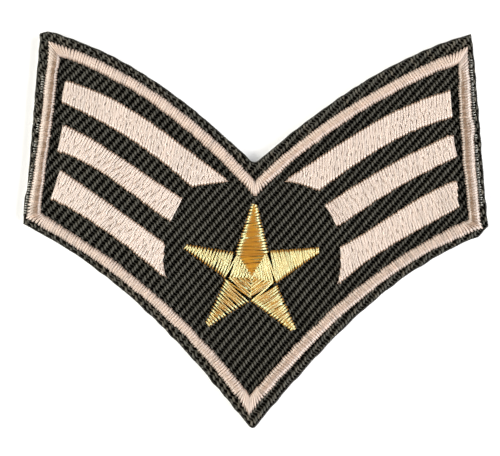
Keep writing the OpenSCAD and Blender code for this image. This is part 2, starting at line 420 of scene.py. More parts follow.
def near_line(points, start, end):
    """How far each point is from a straight line between two points."""
    start, run = np.array(start), np.subtract(end, start)
    share = np.clip((points - start) @ run / (run @ run), 0, 1)
    return np.hypot(*(points - start - share[:, None] * run).T)


def cut_line(origin, direction, outline):
    """How far along a line it enters and leaves an outline, or None where it misses it."""
    across = np.array([-direction[1], direction[0]])
    side = (outline - origin) @ across
    along = (outline - origin) @ direction
    after_side, after_along = np.roll(side, -1), np.roll(along, -1)
    hit = (side > 0) != (after_side > 0)
    if hit.sum() < 2:
        return None
    t = side[hit] / (side[hit] - after_side[hit])
    cuts = along[hit] + t * (after_along[hit] - along[hit])
    return cuts.min(), cuts.max()


def to_right(vectors):
    """The vectors turned a quarter clockwise."""
    return np.column_stack([vectors[:, 1], -vectors[:, 0]])


def smooth(t):
    """A soft step from 0 to 1 as t goes from 0 to 1."""
    t = np.clip(t, 0, 1)
    return t * t * (3 - 2 * t)


class Rail:
    """A line of points read by the distance along it."""

    def __init__(self, points):
        self.points = points
        steps = np.hypot(*np.diff(points, axis=0).T)
        self.travel = np.concatenate([[0], np.cumsum(steps)])
        self.length = self.travel[-1]

    def at(self, distance):
        return np.stack([np.interp(distance, self.travel, values) for values in self.points.T], axis=-1)

    def heading(self, end):
        """The unit vector along the line at its start, end 0, or at its end, end -1."""
        step = np.diff(self.points, axis=0)[end]
        return step / np.hypot(*step)


# Unevenness


def slow_noise(rng, count, reach=4):
    """Smooth random values along a row, spread about zero by one."""
    window = np.hanning(2 * reach + 3)
    values = rng.normal(0, 1, count + len(window) - 1)
    return np.convolve(values, window / np.sqrt((window**2).sum()), "valid")


def closed_ripple(rng, distance, length):
    """A slow ripple along a closed line, between about -1 and 1."""
    total = np.zeros(len(distance))
    for turns in rng.integers(*RIPPLE_TURNS, RIPPLE_WAVES):
        total += np.sin(FULL_TURN * (turns * distance / length + rng.uniform()))
    return total / math.sqrt(RIPPLE_WAVES)


def ragged(rng, count, spread):
    """How far each of a row of stitches reaches past its needle line: a slow wander and single long ones."""
    reach = OVERHANG + WANDER * slow_noise(rng, count, WANDER_STITCHES) + rng.normal(0, spread, count)
    return reach[:, None]


def draws_for(part, number=0):
    """A part's own random draws, from its fixed seed."""
    return np.random.default_rng(SEEDS[part] + number)


# Meshes


def unit(vectors):
    return vectors / np.maximum(np.linalg.norm(vectors, axis=-1, keepdims=True), TINY)


def travelled(paths):
    """The distance of each point of each path from the path's start."""
    steps = np.linalg.norm(np.diff(paths, axis=1), axis=2)
    return np.concatenate([np.zeros((len(paths), 1)), np.cumsum(steps, axis=1)], axis=1)


def filament_grain(along, turn, tints, twist):
    """Where the filaments' pattern is read on each ring, wound round the thread by its twist."""
    twisted = turn + (along * FULL_TURN / twist)[..., None] + np.asarray(tints)[:, None, None] * TINT_TURN
    drawn = np.broadcast_to(along[..., None] * FIBRE_STRETCH, twisted.shape)
    return np.stack([drawn, np.cos(twisted), np.sin(twisted)], -1)


class Strands:
    """Closed thread-like tubes and plain forms gathered into one mesh, each with its own tint."""

    def __init__(self):
        self.points = []
        self.numbers = {"tint": [], "dive": []}
        self.vectors = {"strand": [], "across": []}
        self.corners = []
        self.sizes = []
        self.count = 0

    def add(self, paths, wide, thick, tints, twist=SATIN_TWIST):
        """paths is threads x rings x 3; wide and thick are half sizes, of the same shape or one number."""
        shape, k = paths.shape[:2], THREAD_SIDES
        run = np.gradient(paths, axis=1)
        side = unit(np.cross(run, UP))
        normal = unit(np.cross(side, run))
        turn = np.arange(k) * FULL_TURN / k
        to_side = np.broadcast_to(wide, shape)[..., None, None] * np.cos(turn)[:, None] * side[:, :, None]
        to_top = np.broadcast_to(thick, shape)[..., None, None] * np.sin(turn)[:, None] * normal[:, :, None]
        self.points.append((paths[:, :, None] + to_side + to_top).reshape(-1, 3))
        grain = filament_grain(travelled(paths), turn, tints, twist)
        self.vectors["strand"].append(grain.reshape(-1, 3))
        self.vectors["across"].append(np.repeat(side.reshape(-1, 3), k, axis=0))
        self.numbers["dive"].append(np.repeat(np.abs(unit(run)[..., 2]).reshape(-1), k))
        self.numbers["tint"].append(np.repeat(np.asarray(tints, float), shape[1] * k))
        self.add_tube_faces(*shape, k)

    def add_tube_faces(self, threads, rings, k):
        """The sides and end caps of tubes with k points a ring."""
        j = np.arange(k)
        after = (j + 1) % k
        first = self.count + np.arange(threads)[:, None] * rings * k
        low = first[..., None] + np.arange(rings - 1)[None, :, None] * k
        quads = np.stack([low + j, low + k + j, low + k + after, low + after], axis=-1)
        caps = np.concatenate([first + j, first + (rings - 1) * k + j[::-1]])
        self.corners += [quads.ravel(), caps.ravel()]
        self.sizes += [np.full(threads * (rings - 1) * k, 4), np.full(2 * threads, k)]
        self.count += threads * rings * k

    def add_form(self, points, faces, tint):
        """A closed form that isn't a thread, such as a sheet or the padding under a satin column."""
        count = len(points)
        self.points.append(np.asarray(points, float))
        self.vectors["strand"].append(np.zeros((count, 3)))
        self.vectors["across"].append(np.tile([1.0, 0.0, 0.0], (count, 1)))
        self.numbers["tint"].append(np.full(count, tint))
        self.numbers["dive"].append(np.zeros(count))
        for face in faces:
            self.corners.append(np.asarray(face) + self.count)
            self.sizes.append([len(face)])
        self.count += count

    def build(self, name):
        numbers = {label: np.concatenate(rows) for label, rows in self.numbers.items()}
        vectors = {label: np.concatenate(rows) for label, rows in self.vectors.items()}
        mesh = make_mesh(name, *(np.concatenate(rows) for rows in (self.points, self.corners, self.sizes)))
        write_attributes(mesh, "FLOAT", "value", numbers)
        write_attributes(mesh, "FLOAT_VECTOR", "vector", vectors)
        mesh.update(calc_edges=True)
        mesh.validate()
        return placed(name, mesh)


def make_mesh(name, points, corners, sizes):
    """A smooth mesh in metres from points in the drawing's frame."""
    points[:, :2] = (points[:, :2] - DRAWN_MIDDLE) * DRAWN_SCALE
    mesh = bpy.data.meshes.new(name)
    mesh.vertices.add(len(points))
    mesh.vertices.foreach_set("co", (points * MM).astype(np.float32).ravel())
    mesh.loops.add(len(corners))
    mesh.loops.foreach_set("vertex_index", corners.astype(np.int32))
    mesh.polygons.add(len(sizes))
    mesh.polygons.foreach_set("loop_start", np.concatenate([[0], np.cumsum(sizes)[:-1]]).astype(np.int32))
    mesh.polygons.foreach_set("use_smooth", np.ones(len(sizes), bool))
    return mesh


def write_attributes(mesh, kind, field, columns):
    for label, values in columns.items():
        layer = mesh.attributes.new(label, kind, "POINT")
        layer.data.foreach_set(field, values.astype(np.float32).ravel())


def placed(name, data):
    """A new object in the scene with this mesh, light or camera."""
    thing = bpy.data.objects.new(name, data)
    bpy.context.scene.collection.objects.link(thing)
    return thing


# Materials


class Look:
    """A new material and the nodes that its colour and relief are made of."""

    def __init__(self, name):
        self.material = bpy.data.materials.new(name)
        self.material.use_nodes = True
        self.nodes = self.material.node_tree.nodes
        self.shader = self.nodes["Principled BSDF"].inputs

    def feed(self, socket, value):
        """Give a socket a number, a colour or the output of another node."""
        if isinstance(value, (int, float)):
            socket.default_value = value
        elif isinstance(value, tuple):
            socket.default_value = (*value, 1)
        else:
            self.material.node_tree.links.new(value, socket)

    def shade(self, values):
        """Feed the shader's own sockets by their names."""
        for label, value in values.items():
            self.feed(self.shader[label], value)

    def node(self, kind, output, inputs, **settings):
        """The output of a new node with these inputs and settings."""
        node = self.nodes.new("ShaderNode" + kind)
        for label, value in settings.items():
            setattr(node, label, value)
        for place, value in inputs.items():
            self.feed(node.inputs[place], value)
        return node.outputs[output]

    def attribute(self, name, output):
        return self.node("Attribute", output, {}, attribute_name=name)

    def noise(self, source, scale, detail):
        return self.node("TexNoise", "Fac", {"Vector": source, "Scale": scale, "Detail": detail})

    def maths(self, operation, a, b=0.0):
        return self.node("Math", 0, {0: a, 1: b}, operation=operation)

    def multiplied(self, factor, a, b):
        """Colour a multiplied by colour b, as far as the factor says."""
        inputs = dict(zip(MIX_INPUTS, (factor, a, b)))
        return self.node("Mix", MIX_RESULT, inputs, data_type="RGBA", blend_type="MULTIPLY")

    def ramp(self, factor, stops):
        colour = self.node("ValToRGB", "Color", {"Fac": factor})
        band = colour.node.color_ramp
        while len(band.elements) < len(stops):
            band.elements.new(0.5)
        for element, (place, shade) in zip(band.elements, stops):
            element.position = place
            element.color = (*shade, 1)
        return colour


def thread_colour(look, shades, stain, fibres):
    """A shade for each strand, slow stains over the cloth, and painted shade between the filaments."""
    shade = look.ramp(look.attribute("tint", "Fac"), shades)
    where = look.node("TexCoord", "Object", {})
    share = look.maths("MULTIPLY", look.noise(where, STAIN_SCALE, STAIN_DETAIL), STAIN_SHARE)
    return look.multiplied(GAP_SHADE_SHARE, look.multiplied(share, shade, stain), look.ramp(fibres, FILAMENT_GAP_SHADE))


def thread_relief(look, strand, fibres, bump):
    """The relief of a thread's two plies and of the filaments in them."""
    across_plies = look.maths("ABSOLUTE", look.node("SeparateXYZ", "Z", {0: strand}))
    height = look.maths("ADD", look.maths("MULTIPLY", across_plies, PLY_SHARE), fibres)
    return look.node("Bump", "Normal", {"Strength": bump, "Distance": RELIEF_DEPTH * MM, "Height": height})


def thread_material(name, shades, stain, rough, index, bump=0.35, filament=2.2, dulled_and_shaded=0.0, glint=WHITE):
    """Twisted filament thread.

    The sheen spreads across the thread and stays narrow along it, and is dulled where the thread dives,
    where painted shade also darkens its colour.
    """
    look = Look(name)
    strand = look.attribute("strand", "Vector")
    fibres = look.noise(strand, filament, FILAMENT_DETAIL)
    colour = thread_colour(look, shades, stain, fibres)
    look.shade({
        "Normal": thread_relief(look, strand, fibres, bump),
        "Tangent": look.attribute("across", "Vector"),
        "Anisotropic": ANISOTROPY,
        "IOR": index,
        "Specular IOR Level": 1.0,
        "Specular Tint": glint,
        "Roughness": rough,
    })
    if dulled_and_shaded:
        dive = look.maths("MULTIPLY", look.attribute("dive", "Fac"), dulled_and_shaded)
        look.shade({"Roughness": look.maths("ADD", dive, rough)})
        # Painted shade: the colour is darkened where the thread dives.
        colour = look.multiplied(dive, colour, DIVE_PAINTED_SHADE)
    look.shade({"Base Color": colour})
    return look.material


# Scene

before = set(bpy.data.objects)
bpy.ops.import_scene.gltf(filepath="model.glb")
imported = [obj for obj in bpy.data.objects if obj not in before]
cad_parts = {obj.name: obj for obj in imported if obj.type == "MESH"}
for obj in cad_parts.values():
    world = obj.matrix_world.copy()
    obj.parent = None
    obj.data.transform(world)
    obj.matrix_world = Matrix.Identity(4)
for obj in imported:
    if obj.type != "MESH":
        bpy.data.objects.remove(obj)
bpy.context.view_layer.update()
cut_outline = outline_of(CUT_EDGE)
drawn_low, drawn_high = cut_outline.min(axis=0), cut_outline.max(axis=0)
DRAWN_MIDDLE = (drawn_low + drawn_high) / 2
ground_low, ground_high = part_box("twill_ground")
DRAWN_SCALE = (ground_high.x - ground_low.x) / MM / (drawn_high[0] - drawn_low[0])

border_out, border_in = outline_of(BORDER_OUTSIDE), outline_of(BORDER_INSIDE)
bar_outlines = {name: outline_of(table) for name, (table, _) in BARS.items()}
star_outline = np.array(list(STAR_ARMS.values())).reshape(-1, 2)
materials = {name: thread_material(name, **look) for name, look in LOOKS.items()}


def under_stitches(points):
    """How far each point is inside the nearest stitched shape; negative in the open twill."""
    ring = np.minimum(inside_by(points, border_out), -inside_by(points, border_in))
    cover = np.maximum(ring, inside_by(points, star_outline))
    for outline in bar_outlines.values():
        cover = np.maximum(cover, inside_by(points, outline))
    return cover


def finish_piece(strands, name, material, slot, *nodes):
    """The strands as a named piece that moves with the part and stands for the CAD nodes."""
    piece = strands.build(name)
    piece.data.materials.append(materials[material])
    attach(piece, "root")
    if nodes:
        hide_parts(*nodes)
    return piece


# Threads over satin columns


def rolled(length):
    """Shares of the way across and of the height for threads that go up over a rolled edge and run level."""
    roll = np.minimum(BAR_ROLL, length / 2 * MOST_ROLL)
    turn = np.linspace(0, np.pi / 2, FLANK_RINGS)[None]
    rise = roll * (1 - np.cos(turn)) / length
    places = (np.arange(1, LEVEL_RINGS + 1) / (LEVEL_RINGS + 1))[None]
    level = roll / length + (1 - 2 * roll / length) * places
    f = np.concatenate([rise, level, 1 - rise[:, ::-1]], axis=1)
    height = np.concatenate([np.sin(turn), np.ones((1, LEVEL_RINGS)), np.sin(turn)[:, ::-1]], axis=1)
    return f, np.broadcast_to(height, f.shape)


def domed(crest, fullness, rings=11):
    """The same for threads over one full dome, each with its crest at a share of the way across.

    A higher fullness keeps the crown flatter.
    """
    turn = np.linspace(0, np.pi, rings)
    power = 2 / np.reshape(fullness, (-1, 1))
    f = (1 - np.sign(np.cos(turn)) * np.abs(np.cos(turn)) ** power) / 2
    crest = np.asarray(crest, float)[:, None]
    f = np.where(f < 0.5, f * 2 * crest, 1 - (1 - f) * 2 * (1 - crest))
    return f, np.broadcast_to(np.sin(turn), f.shape)


def arched(a, b, shape, crown, foot, rng, sway=0.02, lift=0.02):
    """Threads from needle holes a to needle holes b that follow a rolled or domed shape.

    foot is the height at the holes, one for all or a pair for each thread.
    """
    f, height = shape
    across = b - a
    length = np.maximum(np.hypot(*across.T), TINY)[:, None]
    path = a[:, None] + f[..., None] * across[:, None]
    belly = np.sin(np.pi * f) * rng.normal(0, sway, (len(a), 1))
    path = path - belly[..., None] * (to_right(across) / length)[:, None]
    crown = np.broadcast_to(crown, (len(a),)) + rng.uniform(-lift, lift, len(a))
    foot = np.broadcast_to(foot, (len(a), 2))
    low = foot[:, :1] + (foot[:, 1:] - foot[:, :1]) * f
    z = low + (crown[:, None] - low) * height
    return np.concatenate([path, z[..., None]], axis=2), f


def tapered(f, power=6):
    """A thread's size along its way across, as a share of its full size."""
    return 1 - END_TAPER * np.abs(2 * f - 1) ** power


def padding(node, drop):
    """The stitched underlay: the CAD node's form drawn in and lowered, and let down into the cloth."""
    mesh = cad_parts[node].data
    points = np.array([v.co for v in mesh.vertices]) / MM
    normals = np.array([v.normal for v in mesh.vertices])
    points[:, :2] -= PAD_INSET * normals[:, :2]
    foot = points[:, 2] < points[:, 2].min() + FOOT_BAND
    points[:, 2] = np.where(foot, PAD_FOOT, points[:, 2] - drop)
    points[:, :2] = points[:, :2] / DRAWN_SCALE + DRAWN_MIDDLE
    return points, [list(p.vertices) for p in mesh.polygons]


# Border threads


def fanned(out, into):
    """Where one side's threads meet its two rails, leaning at both ends to fan round the corners."""
    lead = float((into.points[0] - out.points[0]) @ out.heading(0)) / 2
    trail = float((out.points[-1] - into.points[-1]) @ out.heading(-1)) / 2
    length = (out.length + into.length) / 2
    d = np.linspace(0, length, 2 * round(length / BORDER_PITCH) + 1)
    fan_in, fan_out = (max(LEAST_FAN, FAN_SHARE * abs(lean)) for lean in (lead, trail))
    shift = lead * smooth(d / fan_in) + trail * (1 - smooth((length - d) / fan_out))
    at_out = out.at((d + shift) * out.length / (length + lead + trail))
    at_in = into.at((d - shift) * into.length / (length - lead - trail))
    return at_out, at_in


def bulged(points):
    """How far each point of the border's outer line is pushed out where the right side is wider."""
    hump = np.exp(-(((points[:, 1] - BULGE_AT) / BULGE_REACH) ** 4))
    return BULGE * hump * (points[:, 0] > BULGE_RIGHT_OF)


def sew_side(rng, out, into, look):
    """The threads of one side: those that go in over the column, then those that come back under them."""
    at_out, at_in = fanned(out, into)
    at_out[:, 0] += bulged(at_out)
    outward = at_out - at_in
    outward /= np.hypot(*outward.T)[:, None]
    outer, inner = at_out[0::2], at_in[1::2]
    outer = outer + outward[0::2] * ragged(rng, len(outer), OUTER_SPREAD)
    inner = inner - outward[1::2] * ragged(rng, len(inner), INNER_SPREAD)
    beside = BESIDE * to_right(outward)
    count = len(inner)
    return {
        "start": np.vstack([outer[:-1] + beside[0:-1:2], inner + beside[1::2]]),
        "end": np.vstack([inner - beside[1::2], outer[1:] - beside[2::2]]),
        "crest": np.repeat([look["crest"], 1 - look["crest"]], count),
        "fullness": np.full(2 * count, look["fullness"]),
        "crown": np.repeat([look["crown"] + OVER_LIFT / 2, look["crown"] - OVER_LIFT / 2], count),
        "width": np.repeat([OVER_WIDTH, UNDER_WIDTH], count),
        # Painted shade: the side's threads are picked lighter or darker by how the light falls on that side.
        "tint": np.clip(rng.normal(look["shade"], SHADE_SPREAD, 2 * count), 0, 1),
    }


def stitch_border(strands, rng):
    """A closed satin column: each thread crosses from the outside rail to the inside one and back."""
    rails = zip(edges_of(BORDER_OUTSIDE), edges_of(BORDER_INSIDE), BORDER_SIDES)
    sides = [sew_side(rng, Rail(out), Rail(into), look) for out, into, look in rails]
    sewn = {label: np.concatenate([side[label] for side in sides]) for label in sides[0]}
    shape = domed(sewn["crest"], sewn["fullness"])
    path, f = arched(sewn["start"], sewn["end"], shape, sewn["crown"], FOOT, rng, lift=BORDER_LIFT)
    wide = sewn["width"][:, None] * rng.uniform(*UNEVEN, (len(path), 1)) * tapered(f)
    strands.add(path, wide, BORDER_THICK * tapered(f), sewn["tint"])


# Bar threads


def bar_axis(table):
    """A bar's left end, the unit vector along it and its length, from the middles of its short edges."""
    corners = np.array(table)[:, :2]
    left, right = (corners[0] + corners[3]) / 2, (corners[1] + corners[2]) / 2
    run = right - left
    reach = np.hypot(*run)
    return left, run / reach, reach


def bar_holes(rng, table, angles):
    """A bar's needle holes: every other one along the lower edge, and those between along the upper one."""
    outline = outline_of(table)
    left, run, reach = bar_axis(table)
    lows, highs = [], []
    here = -PAST_ENDS
    while here < reach + PAST_ENDS:
        angle = math.radians(np.interp(here / reach, [0, 0.5, 1], angles))
        direction = np.array([math.cos(angle), math.sin(angle)])
        middle = left + here * run
        cuts = cut_line(middle, direction, outline)
        if cuts is not None and cuts[1] - cuts[0] > SHORTEST_THREAD:
            lows.append(middle + (cuts[0] - LOW_OVERHANG + rng.normal(0, LOW_SPREAD)) * direction)
            highs.append(middle + (cuts[1] + OVERHANG + rng.normal(0, HIGH_SPREAD)) * direction)
        here += BAR_PITCH / 2 / abs(run[0] * direction[1] - run[1] * direction[0])
    return np.array(lows[0::2]), np.array(highs[1::2]), run


def stitch_bar(strands, rng, table, angles):
    """A satin bar of nearly parallel threads, each held down once part way across."""
    lows, highs, run = bar_holes(rng, table, angles)
    back = min(len(highs), len(lows) - 1)
    beside = BESIDE * run
    a = np.vstack([lows[: len(highs)] + beside, highs[:back] + beside])
    b = np.vstack([highs - beside, lows[1 : back + 1] - beside])
    n = len(a)
    length = np.hypot(*(b - a).T)[:, None]
    path, f = arched(a, b, rolled(length), BAR_CROWN, FOOT, rng, BAR_SWAY, BAR_LIFT)
    hold = np.resize(HOLDS, n) + rng.normal(0, HOLD_SPREAD, n)
    dip = np.exp(-(((f - hold[:, None]) * length / HOLD_REACH) ** 2))
    path[..., 2] -= (length > HELD_FROM) * rng.uniform(*HOLD_DEPTH, (n, 1)) * dip
    taper = tapered(f, 8)
    wide = BAR_WIDTH * rng.uniform(*UNEVEN, (n, 1)) * taper * (1 - HOLD_THIN * dip)
    strands.add(path, wide, BAR_THICK * taper, rng.uniform(0, 1, n))


# Star threads


def arm_corners(name):
    """An arm's tip, the valleys before and after it, the way between the valleys, and its axis inwards."""
    names = list(STAR_ARMS)
    row, before = STAR_ARMS[name], STAR_ARMS[names[names.index(name) - 1]]
    tip, valley_a, valley_b = np.array(row[:2]), np.array(before[2:]), np.array(row[2:])
    across = (valley_b - valley_a) / np.hypot(*(valley_b - valley_a))
    axis = np.array([-across[1], across[0]])
    if axis @ (tip - valley_a) > 0:
        axis = -axis
    return tip, valley_a, valley_b, across, axis


def arm_holes(rng, name, slots, pitch):
    """An arm's needle holes, from side to side and parted by the slot, and the threads' height at each."""
    tip, valley_a, valley_b, across, axis = arm_corners(name)
    middle = np.array(STAR_MIDDLE)
    blunt = BLUNT_TIP * across
    outline = np.array([tip - blunt, tip + blunt, valley_b, middle, valley_a])
    reach = float((middle - tip) @ axis)
    widest = float((valley_a - tip) @ axis)
    holes, feet = [], []
    for count, station in enumerate(np.arange(FIRST_STATION, reach + PAST_MIDDLE, pitch / 2)):
        side = count % 2
        station += rng.normal(0, STATION_SPREAD)
        cuts = cut_line(tip + axis * min(station, reach - SHORT_OF_MIDDLE), across, outline)
        beyond = station - widest
        over = abs(rng.normal(0, SIDE_REACH)) if beyond < 0 else INNER_REACH
        end = cuts[side] + (over if side else -over)
        aside = slots[side] / 2 * math.exp(-abs(beyond) / SLOT_REACH)
        holes.append(tip + axis * (station + math.copysign(aside, beyond)) + across * end)
        feet.append(FOOT if beyond < RAISED_FROM else STAR_CROWN - RAISED_DROP)
    return np.array(holes), np.array(feet)


def stitch_arm(strands, rng, name, slots, pitch, half_width):
    """One arm of the star: metallic threads from side to side, parted by a slot along its widest line."""
    holes, feet = arm_holes(rng, name, slots, pitch)
    a, b = holes[:-1], holes[1:]
    n = len(a)
    crown = STAR_CROWN - TIP_FALL * np.exp(-np.hypot(*(b - a).T) / TIP_WIDTH)
    both_feet = np.column_stack([feet[:-1], feet[1:]])
    shape = domed(np.full(n, 0.5), rng.uniform(*STAR_FULLNESS, n))
    path, f = arched(a, b, shape, crown, both_feet, rng, STAR_SWAY, STAR_LIFT)
    taper = tapered(f)
    wide = half_width * rng.uniform(*STAR_UNEVEN, (n, 1)) * taper
    strands.add(path, wide, STAR_THICK * taper, rng.uniform(0, 1, n), STAR_TWIST)


def block(corners, inset):
    """A plain padding block under part of an arm, drawn in from its corners, which go clockwise."""
    corners = np.array(corners)
    centre = corners.mean(axis=0)
    away = corners - centre
    drawn = centre + away * (1 - inset / np.hypot(*away.T))[:, None]
    n = len(drawn)
    points = [(*p, z) for z in (STAR_PAD_FOOT, STAR_CROWN - STAR_PAD_DROP) for p in drawn]
    sides = [(n + i, n + (i + 1) % n, (i + 1) % n, i) for i in range(n)]
    return points, [range(n), range(2 * n - 1, n - 1, -1)] + sides


def pad_arm(strands, name, slots, padded):
    """The laid threads under an arm's stitches, kept clear of its slot."""
    tip, valley_a, valley_b, across, axis = arm_corners(name)
    clear = axis * (max(slots) / 2 + SLOT_CLEAR)
    middle_part = [valley_a + clear, valley_b + clear, STAR_MIDDLE]
    strands.add_form(*block(middle_part, MIDDLE_INSET), STAR_PAD_PAINTED_SHADE_TINT)
    if padded:
        tip_part = [tip + axis * TIP_CLEAR, valley_b - clear, valley_a - clear]
        strands.add_form(*block(tip_part, TIP_INSET), STAR_PAD_PAINTED_SHADE_TINT)


# Edge stitches


def stitch_edge(strands, rng, rail, out, runs):
    """Ladders of short fine stitches beside the border's outer side, one for each run of heights."""
    distance = np.arange(0, rail.length, EDGE_PITCH)
    start = rail.at(distance + rng.normal(0, EDGE_SPREAD, len(distance)))
    height = start[:, 1]
    start = start[sum((height > low) & (height < high) for low, high in runs) > 0]
    n = len(start)
    near = [out * rng.uniform(*EDGE_NEAR, n), rng.normal(-EDGE_LEAN, EDGE_NEAR_LEAN, n)]
    far = [out * rng.uniform(*EDGE_FAR, n), rng.normal(EDGE_LEAN, EDGE_FAR_LEAN, n)]
    a, b = start + np.column_stack(near), start + np.column_stack(far)
    shape = domed(np.full(n, 0.5), EDGE_FULLNESS, EDGE_RINGS)
    path, _ = arched(a, b, shape, EDGE_CROWN, EDGE_FOOT, rng)
    strands.add(path, EDGE_WIDTH, EDGE_THICK, rng.uniform(0, 1, n), EDGE_TWIST)


# Weave


def weave_shift(points):
    """How many steps down the thread and along the rib the weave is shifted at each point."""
    share = (points / HALF_SPAN) ** 2
    return np.array(WEAVE_START) + share @ np.array([SIDE_BOW, UP_BOW])


def weave_place(ribs, yarns):
    """Where the cloth's lattice cells lie, given as counts down the thread and along the rib."""
    cells = np.stack(np.broadcast_arrays(ribs, yarns), axis=1).astype(float)
    steps = np.array([DOWN_STEP, RIB_STEP])
    place = cells @ steps
    for _ in range(BOW_ROUNDS):
        place = (cells - weave_shift(place)) @ steps
    return place


def yarn_line(yarn):
    """The points of one yarn, swung to its side between the ribs, and its wave over and under them there."""
    ribs = np.arange(-RIBS * STEPS_A_RIB, RIBS * STEPS_A_RIB + 1) / STEPS_A_RIB
    place = weave_place(ribs, yarn)
    near = (np.abs(place) < COVERED).all(axis=1)
    wave = FULL_TURN * ribs[near]
    swing = np.arcsin(SWING_SHARP * np.sin(wave)) / math.asin(SWING_SHARP)
    aside = np.array([-DOWN_STEP[1], DOWN_STEP[0]]) / np.hypot(*DOWN_STEP)
    return place[near] - SWING * swing[:, None] * aside, wave


def pressed_at(cover, edge):
    """How far the weave is pressed flat beside the stitches, at the cut edge and in the rim, up to 1."""
    at_stitches = np.exp(np.minimum(cover, 0) / PRESS_REACH)
    at_edge = np.exp(-np.maximum(edge, 0) / EDGE_PRESS_REACH)
    in_rim = RIM_PRESSED * smooth((RIM_WIDTH + RIM_BLEND / 2 - edge) / RIM_BLEND)
    return np.maximum(np.maximum(at_stitches, at_edge), in_rim)


def sunk_at(place, cover, edge):
    """How much lower the weave lies under the stitches, at the cut edge and in the crease."""
    under = STITCH_SINK * smooth((cover + STITCH_START) / STITCH_FALL)
    at_edge = EDGE_SINK * smooth((EDGE_FALL - edge) / EDGE_FALL)
    return under + at_edge + CREASE_SINK * np.exp(-((near_line(place, *CREASE) / CREASE_WIDTH) ** 2))


def runs_of(keep, fewest):
    """Where each unbroken run of kept points begins and ends, leaving out the shorter ones."""
    marks = np.flatnonzero(np.diff(np.concatenate([[0], keep.astype(int), [0]])))
    return [(begin, end) for begin, end in zip(marks[0::2], marks[1::2]) if end - begin >= fewest]


def weave_yarn(strands, rng, yarn):
    """One of the twill's face yarns: a long float over each rib, then a thin dip before the next."""
    place, wave = yarn_line(yarn)
    if len(place) < FEWEST_POINTS:
        return
    cover, edge = under_stitches(place), inside_by(place, cut_outline)
    pressed = pressed_at(cover, edge)
    loose = (LOOSE + LOOSE_PRESSED * pressed) * smooth((edge + STEADY_PAST) / STEADY_WIDTH)
    uneven = np.stack([slow_noise(rng, len(place)) for _ in range(3)], axis=1)
    place = place + rng.normal(0, JITTER, (len(place), 2)) + loose[:, None] * uneven[:, :2]
    keep = (cover < YARN_UNDER) & (edge > rng.uniform(*YARN_END))
    sink = sunk_at(place, cover, edge) + (LOOSE_LIFT + LOOSE_LIFT_PRESSED * pressed) * uneven[:, 2]
    sink = sink + rng.normal(0, LIFT_JITTER, len(place))
    shallower = np.clip(SHALLOWER + SHALLOWER_SPREAD * uneven[:, 2], 0, SHALLOWEST)
    crest = smooth(0.5 + FLOAT_LENGTH * np.cos(wave))
    z = TWILL_TOP - YARN_DROP - YARN_DEPTH * (1 - pressed * shallower) * (1 - crest) - sink
    size = YARN_THIN + YARN_CREST * crest + YARN_PRESSED * pressed
    shade = rng.uniform(0, YARN_SHADE)
    path = np.column_stack([place, z])
    for begin, end in runs_of(keep, FEWEST_IN_RUN):
        in_rim = edge[(begin + end) // 2] < RIM_WIDTH
        half = size[None, begin:end]
        strands.add(path[None, begin:end], half, half, [shade + RIM_SHADE * in_rim], YARN_TWIST)


def weave_cords(rng):
    """The crossing yarns that lie under the ribs."""
    strands = Strands()
    yarns = np.arange(-YARNS, YARNS + 1) * CORD_STEP
    for rib in range(-RIBS, RIBS + 1):
        place = weave_place(rib, yarns)
        edge = inside_by(place, cut_outline)
        sink = CORD_SINK * smooth((EDGE_FALL - edge) / EDGE_FALL)
        z = CORD_MIDDLE - sink + rng.normal(0, CORD_JITTER, len(place))
        path = np.column_stack([place, z])
        for begin, end in runs_of(edge > CORD_END, FEWEST_IN_CORD):
            strands.add(path[None, begin:end], CORD_WIDTH, CORD_THICK, [rng.uniform(0, 1)], CORD_TWIST)
    return strands


# Cut edge and sheets


def seal_edge(rng):
    """The cut edge, melted into a low smooth lip all the way round."""
    rail = Rail(np.vstack([cut_outline, cut_outline[:1]]))
    distance = np.arange(0, rail.length, LIP_STEP)
    place = rail.at(distance)
    run = np.roll(place, -1, axis=0) - np.roll(place, 1, axis=0)
    inwards = to_right(run) / np.hypot(*run.T)[:, None]
    inset = LIP_INSET + LIP_RIPPLE * closed_ripple(rng, distance, rail.length)
    place = place + inwards * inset[:, None]
    z = LIP_MIDDLE + LIP_ROLL * closed_ripple(rng, distance, rail.length)
    path = np.column_stack([place, z])
    path = np.concatenate([path, path[:1]])
    strands = Strands()
    strands.add(path[None], LIP_WIDTH, LIP_HEIGHT, [PLAIN_TINT], CORD_TWIST)
    return strands


def joined(edges, rows):
    """The points along some of the cut edge's rows, one after another."""
    return np.vstack([edges[rows[0]]] + [edges[row][1:] for row in rows[1:]])


def chevron_grid(columns, rows):
    """A grid of points over the cut shape, with its rim on the cut edge."""
    edges = edges_of(CUT_EDGE)
    top, left = Rail(joined(edges, CUT_TOP)), Rail(joined(edges, CUT_LEFT))
    right, bottom = Rail(joined(edges, CUT_RIGHT)[::-1]), Rail(joined(edges, CUT_BOTTOM)[::-1])
    u, v = np.linspace(0, 1, columns + 1), np.linspace(0, 1, rows + 1)
    low, high = bottom.at(u * bottom.length), top.at(u * top.length)
    near, far = left.at(v * left.length), right.at(v * right.length)
    u, v = u[:, None, None], v[None, :, None]
    low_corners = (1 - u) * (1 - v) * low[0] + u * (1 - v) * low[-1]
    high_corners = (1 - u) * v * high[0] + u * v * high[-1]
    ruled = (1 - v) * low[:, None] + v * high[:, None] + (1 - u) * near[None] + u * far[None]
    return ruled - (low_corners + high_corners)


